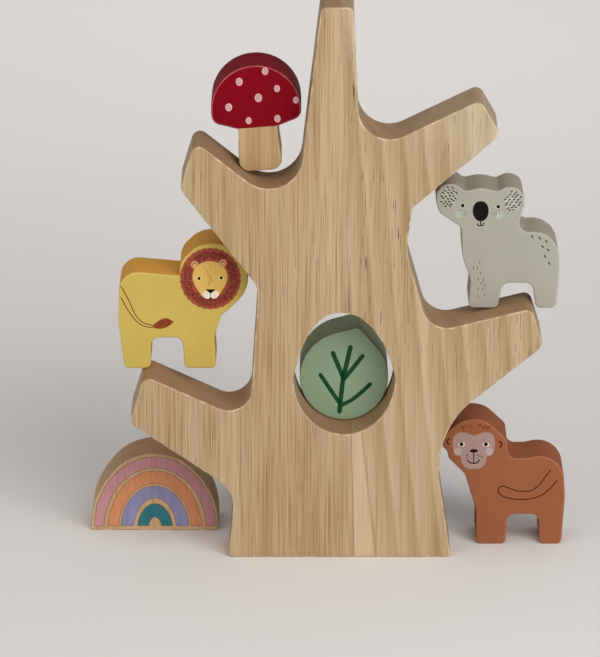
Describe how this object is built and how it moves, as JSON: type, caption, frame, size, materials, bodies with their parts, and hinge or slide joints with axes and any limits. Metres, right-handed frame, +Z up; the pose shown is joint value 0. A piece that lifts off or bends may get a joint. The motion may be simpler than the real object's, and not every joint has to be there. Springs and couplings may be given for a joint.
{
  "type": "balancing tree game",
  "caption": "Wooden balancing tree: an upright plate with forked branches and a hollow in its trunk, with loose animal, leaf, mushroom and rainbow plates to stack on it.",
  "frame": {"origin": "centre of the tree's flat base, at mid thickness", "axes": "+Z up the trunk, +X to the right of a player facing the tree, +Y away from the player"},
  "size_m": [0.2296, 0.112, 0.2706],
  "materials": {
    "left_board_wood": "satin",
    "right_board_wood": "satin",
    "mushroom_paint": "satin",
    "lion_paint": "satin",
    "koala_paint": "satin",
    "leaf_paint": "satin",
    "monkey_paint": "satin",
    "rainbow_wood": "satin",
    "crocodile_paint": "satin",
    "hedgehog_paint": "satin",
    "fox_paint": "satin"
  },
  "bodies": {
    "tree": {"tree_left_board": "left_board_wood", "tree_right_board": "right_board_wood"},
    "mushroom": {"mushroom": "mushroom_paint"},
    "lion": {"lion": "lion_paint"},
    "koala": {"koala": "koala_paint"},
    "leaf": {"leaf": "leaf_paint"},
    "monkey": {"monkey": "monkey_paint"},
    "rainbow": {"rainbow": "rainbow_wood"},
    "crocodile": {"crocodile": "crocodile_paint"},
    "hedgehog": {"hedgehog": "hedgehog_paint"},
    "fox": {"fox": "fox_paint"}
  },
  "joints": [
    {"name": "mushroom_lift_off", "type": "slide", "parent": "tree", "child": "mushroom", "axis": [0, 0, 1], "range_m": [0, 0.06]},
    {"name": "lion_lift_off", "type": "slide", "parent": "tree", "child": "lion", "axis": [0, -1, 0], "range_m": [0, 0.055]},
    {"name": "koala_lift_off", "type": "slide", "parent": "tree", "child": "koala", "axis": [0, -1, 0], "range_m": [0, 0.055]},
    {"name": "leaf_lift_off", "type": "slide", "parent": "tree", "child": "leaf", "axis": [0, -1, 0], "range_m": [0, 0.055]},
    {"name": "monkey_lift_off", "type": "slide", "parent": "tree", "child": "monkey", "axis": [0, -1, 0], "range_m": [0, 0.055]},
    {"name": "rainbow_lift_off", "type": "slide", "parent": "tree", "child": "rainbow", "axis": [0, 0, 1], "range_m": [0, 0.045]},
    {"name": "crocodile_lift_off", "type": "slide", "parent": "tree", "child": "crocodile", "axis": [0, 0, 1], "range_m": [0, 0.06]},
    {"name": "hedgehog_lift_off", "type": "slide", "parent": "tree", "child": "hedgehog", "axis": [0, 0, 1], "range_m": [0, 0.06]},
    {"name": "fox_lift_off", "type": "slide", "parent": "tree", "child": "fox", "axis": [0, 0, 1], "range_m": [0, 0.06]}
  ]
}
